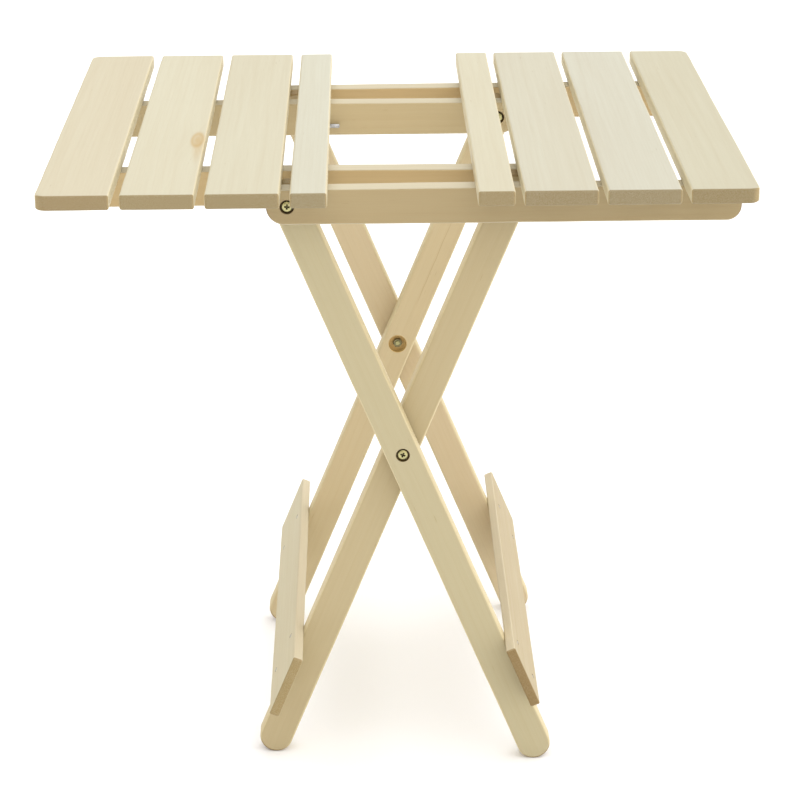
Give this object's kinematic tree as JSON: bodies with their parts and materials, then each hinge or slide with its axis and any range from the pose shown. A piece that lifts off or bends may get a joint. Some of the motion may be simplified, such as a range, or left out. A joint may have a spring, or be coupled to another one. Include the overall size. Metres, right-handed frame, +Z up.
{
  "type": "folding picnic table",
  "caption": "Small folding picnic table of bare pale wood: two slatted top halves on two crossing pairs of legs with foot boards.",
  "frame": {"origin": "on the floor under the middle of the open table's bounding box", "axes": "+X right along the longer side of the top, +Y to the rear along the slats, +Z up"},
  "size_m": [0.7394, 0.64, 0.7001],
  "materials": {
    "pale_wood": "bare planed wood",
    "yellow_zinc_steel": "yellow zinc plated",
    "zinc_steel": "bright zinc plated"
  },
  "bodies": {
    "outer_legs": {"outer_leg_front": "pale_wood", "outer_leg_rear": "pale_wood", "right_foot_board": "pale_wood", "right_board_nails": "zinc_steel", "left_pivot_bolts": "yellow_zinc_steel", "left_pivot_nuts": "yellow_zinc_steel", "left_pivot_washers": "yellow_zinc_steel"},
    "inner_legs": {"inner_leg_front": "pale_wood", "inner_leg_rear": "pale_wood", "left_foot_board": "pale_wood", "left_board_nails": "zinc_steel", "crossing_bolts": "yellow_zinc_steel", "crossing_nuts": "yellow_zinc_steel", "crossing_washers": "yellow_zinc_steel", "right_pivot_bolts": "yellow_zinc_steel", "right_pivot_nuts": "yellow_zinc_steel", "right_pivot_washers": "yellow_zinc_steel"},
    "left_half": {"slat_1": "pale_wood", "slat_2": "pale_wood", "slat_3": "pale_wood", "slat_4": "pale_wood", "inner_rail_front": "pale_wood", "inner_rail_rear": "pale_wood", "left_slat_screws": "zinc_steel", "steel_hook": "zinc_steel"},
    "right_half": {"slat_5": "pale_wood", "slat_6": "pale_wood", "slat_7": "pale_wood", "slat_8": "pale_wood", "outer_rail_front": "pale_wood", "outer_rail_rear": "pale_wood", "right_slat_screws": "zinc_steel"}
  },
  "joints": [
    {"name": "legs_fold", "type": "hinge", "parent": "outer_legs", "child": "inner_legs", "pos_m": [0.00475, -0.01, 0.37448], "axis": [0, -1, 0], "range_deg": [0, 44]},
    {"name": "right_half_hinge", "type": "hinge", "parent": "outer_legs", "child": "right_half", "pos_m": [-0.11525, -0.01, 0.66464], "axis": [0, -1, 0], "range_deg": [0, 22]},
    {"name": "left_half_hinge", "type": "hinge", "parent": "inner_legs", "child": "left_half", "pos_m": [0.12475, -0.01, 0.66464], "axis": [0, 1, 0], "range_deg": [0, 22]}
  ],
  "couplings": [
    {"joint": "right_half_hinge", "follows": "legs_fold", "ratio": 0.5},
    {"joint": "left_half_hinge", "follows": "legs_fold", "ratio": 0.5}
  ]
}
